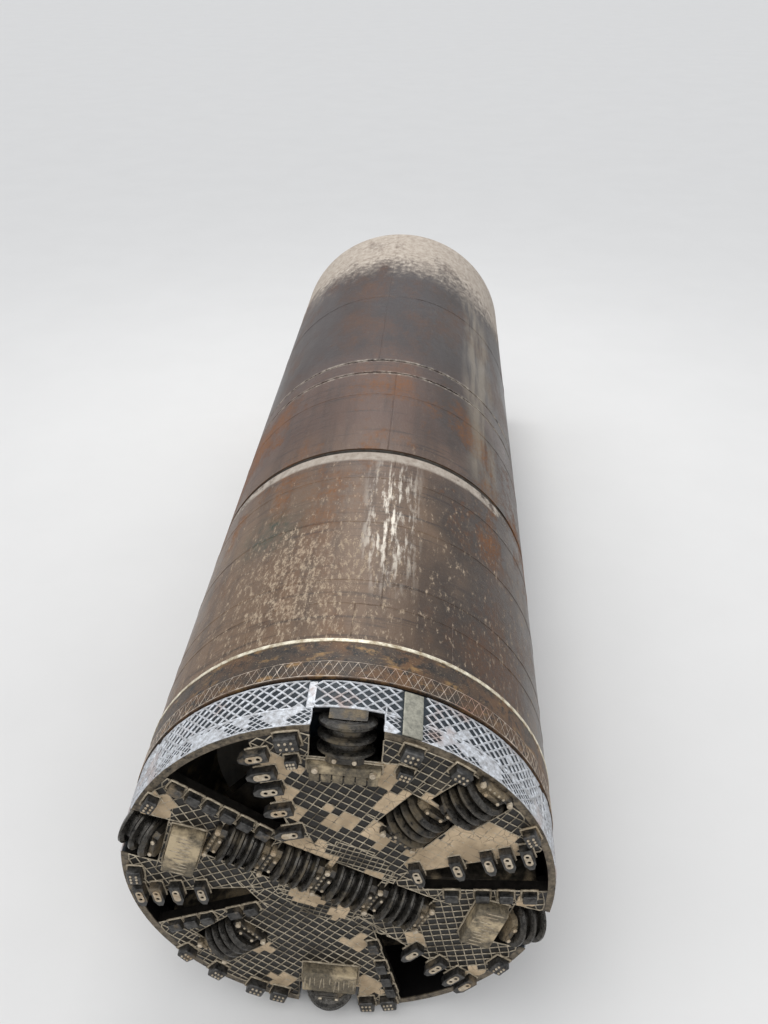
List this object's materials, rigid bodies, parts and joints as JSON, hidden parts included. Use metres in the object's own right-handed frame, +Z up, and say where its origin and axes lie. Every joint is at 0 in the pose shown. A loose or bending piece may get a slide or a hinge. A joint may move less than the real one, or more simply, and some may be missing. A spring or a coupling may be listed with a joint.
{
  "type": "tunnel boring machine",
  "caption": "Pipe-jacking tunnel boring machine: disc-cutter head on a steered front shield, with a middle can and an open tail.",
  "frame": {"origin": "on the floor under the machine, midway between its sides and between the cutter tips and the tail", "axes": "+Z up, -Y the way the machine drives, +X to the right when the cutterhead is seen from the front"},
  "size_m": [3.0238, 10.3, 3.0238],
  "materials": {
    "shield_steel": "rusted brown steel, wet, mud-streaked",
    "edge_steel": "hard-faced weld beads over rust",
    "hard_facing": "polished hard-facing grid",
    "head_steel": "dark worn steel with a weld grid",
    "saddle_steel": "worn dark steel",
    "weld_blocks": "rough weld beads with dried mud",
    "bit_steel": "worn steel with dried mud",
    "cutter_steel": "dark polished steel",
    "rod_chrome": "hard chrome",
    "frame_steel": "grey primer",
    "machine_paint": "satin blue-grey paint",
    "cylinder_paint": "satin yellow paint",
    "walkway_steel": "worn chequer plate",
    "cabinet_paint": "light grey paint",
    "duct_sheet": "galvanised spiral duct",
    "pipe_paint": "grey paint, muddy"
  },
  "bodies": {
    "rear_shield": {"middle_can": "shield_steel", "middle_frame": "frame_steel", "steering_barrels": "cylinder_paint", "joint_ring": "shield_steel", "tail_can": "shield_steel", "jacking_ring": "frame_steel", "walkway": "walkway_steel", "power_pack": "machine_paint", "oil_tank": "machine_paint", "electric_cabinet": "cabinet_paint", "vent_duct": "duct_sheet", "feed_pipe": "pipe_paint", "discharge_pipe": "pipe_paint"},
    "steering_ring": {"torque_ring": "frame_steel"},
    "front_shield": {"front_edge": "edge_steel", "front_can": "shield_steel", "crusher_ring": "frame_steel", "bulkhead": "frame_steel", "drive_housing": "machine_paint", "drive_motors": "machine_paint", "front_frame": "frame_steel"},
    "cutterhead": {"head_plate": "head_steel", "head_rim": "hard_facing", "head_ribs": "head_steel", "crusher_cone": "head_steel", "face_saddles": "saddle_steel", "gauge_saddles": "saddle_steel", "scrapers": "bit_steel", "lip_blocks": "bit_steel", "rim_bits": "bit_steel", "wear_blocks": "weld_blocks"},
    "rod_top": {"rod_top": "rod_chrome"},
    "rod_left": {"rod_left": "rod_chrome"},
    "rod_bottom": {"rod_bottom": "rod_chrome"},
    "rod_right": {"rod_right": "rod_chrome"},
    "cutter_centre_1": {"cutter_centre_1": "cutter_steel"},
    "cutter_centre_2": {"cutter_centre_2": "cutter_steel"},
    "cutter_centre_3": {"cutter_centre_3": "cutter_steel"},
    "cutter_centre_4": {"cutter_centre_4": "cutter_steel"},
    "cutter_face_1": {"cutter_face_1": "cutter_steel"},
    "cutter_face_2": {"cutter_face_2": "cutter_steel"},
    "cutter_face_3": {"cutter_face_3": "cutter_steel"},
    "cutter_gauge_1": {"cutter_gauge_1": "cutter_steel"},
    "cutter_gauge_2": {"cutter_gauge_2": "cutter_steel"},
    "cutter_gauge_3": {"cutter_gauge_3": "cutter_steel"},
    "cutter_gauge_4": {"cutter_gauge_4": "cutter_steel"}
  },
  "joints": [
    {"name": "steer_yaw", "type": "hinge", "parent": "rear_shield", "child": "steering_ring", "pos_m": [0, -1.725, 1.512], "axis": [0, 0, 1], "range_deg": [-1.5, 1.5]},
    {"name": "steer_pitch", "type": "hinge", "parent": "steering_ring", "child": "front_shield", "pos_m": [0, -1.725, 1.512], "axis": [1, 0, 0], "range_deg": [-1.5, 1.5]},
    {"name": "head_spin", "type": "hinge", "parent": "front_shield", "child": "cutterhead", "pos_m": [0, -5.025, 1.512], "axis": [0, 1, 0], "continuous": true},
    {"name": "rod_top_slide", "type": "slide", "parent": "rear_shield", "child": "rod_top", "axis": [0, 1, 0], "range_m": [-0.031, 0.031]},
    {"name": "rod_bottom_slide", "type": "slide", "parent": "rear_shield", "child": "rod_bottom", "axis": [0, 1, 0], "range_m": [-0.031, 0.031]},
    {"name": "rod_left_slide", "type": "slide", "parent": "rear_shield", "child": "rod_left", "axis": [0, 1, 0], "range_m": [-0.031, 0.031]},
    {"name": "rod_right_slide", "type": "slide", "parent": "rear_shield", "child": "rod_right", "axis": [0, 1, 0], "range_m": [-0.031, 0.031]},
    {"name": "cutter_centre_1_spin", "type": "hinge", "parent": "cutterhead", "child": "cutter_centre_1", "pos_m": [-0.64153, -4.965, 1.83887], "axis": [0.891, 0, -0.454], "continuous": true},
    {"name": "cutter_centre_2_spin", "type": "hinge", "parent": "cutterhead", "child": "cutter_centre_2", "pos_m": [-0.28512, -4.965, 1.65728], "axis": [0.891, 0, -0.454], "continuous": true},
    {"name": "cutter_centre_3_spin", "type": "hinge", "parent": "cutterhead", "child": "cutter_centre_3", "pos_m": [0.07128, -4.965, 1.47568], "axis": [0.891, 0, -0.454], "continuous": true},
    {"name": "cutter_centre_4_spin", "type": "hinge", "parent": "cutterhead", "child": "cutter_centre_4", "pos_m": [0.42768, -4.965, 1.29408], "axis": [0.891, 0, -0.454], "continuous": true},
    {"name": "cutter_face_1_spin", "type": "hinge", "parent": "cutterhead", "child": "cutter_face_1", "pos_m": [0.88746, -4.965, 2.37804], "axis": [0.7157, 0, 0.6984], "continuous": true},
    {"name": "cutter_face_2_spin", "type": "hinge", "parent": "cutterhead", "child": "cutter_face_2", "pos_m": [0.54787, -4.965, 2.18137], "axis": [0.6334, 0, 0.7738], "continuous": true},
    {"name": "cutter_face_3_spin", "type": "hinge", "parent": "cutterhead", "child": "cutter_face_3", "pos_m": [-0.78012, -4.965, 0.82424], "axis": [-0.7501, 0, -0.6613], "continuous": true},
    {"name": "cutter_gauge_1_spin", "type": "hinge", "parent": "cutterhead", "child": "cutter_gauge_1", "pos_m": [0.09414, -4.941, 2.85824], "axis": [0.0632, 0.4226, 0.9041], "continuous": true},
    {"name": "cutter_gauge_2_spin", "type": "hinge", "parent": "cutterhead", "child": "cutter_gauge_2", "pos_m": [-1.29056, -4.941, 1.90656], "axis": [-0.8667, 0.4226, 0.265], "continuous": true},
    {"name": "cutter_gauge_3_spin", "type": "hinge", "parent": "cutterhead", "child": "cutter_gauge_3", "pos_m": [-0.09414, -4.941, 0.16576], "axis": [-0.0632, 0.4226, -0.9041], "continuous": true},
    {"name": "cutter_gauge_4_spin", "type": "hinge", "parent": "cutterhead", "child": "cutter_gauge_4", "pos_m": [1.29056, -4.941, 1.11744], "axis": [0.8667, 0.4226, -0.265], "continuous": true}
  ],
  "couplings": [
    {"joint": "rod_top_slide", "follows": "steer_pitch", "m_per_rad": -1.15},
    {"joint": "rod_bottom_slide", "follows": "steer_pitch", "m_per_rad": 1.15},
    {"joint": "rod_right_slide", "follows": "steer_yaw", "m_per_rad": 1.15},
    {"joint": "rod_left_slide", "follows": "steer_yaw", "m_per_rad": -1.15}
  ]
}
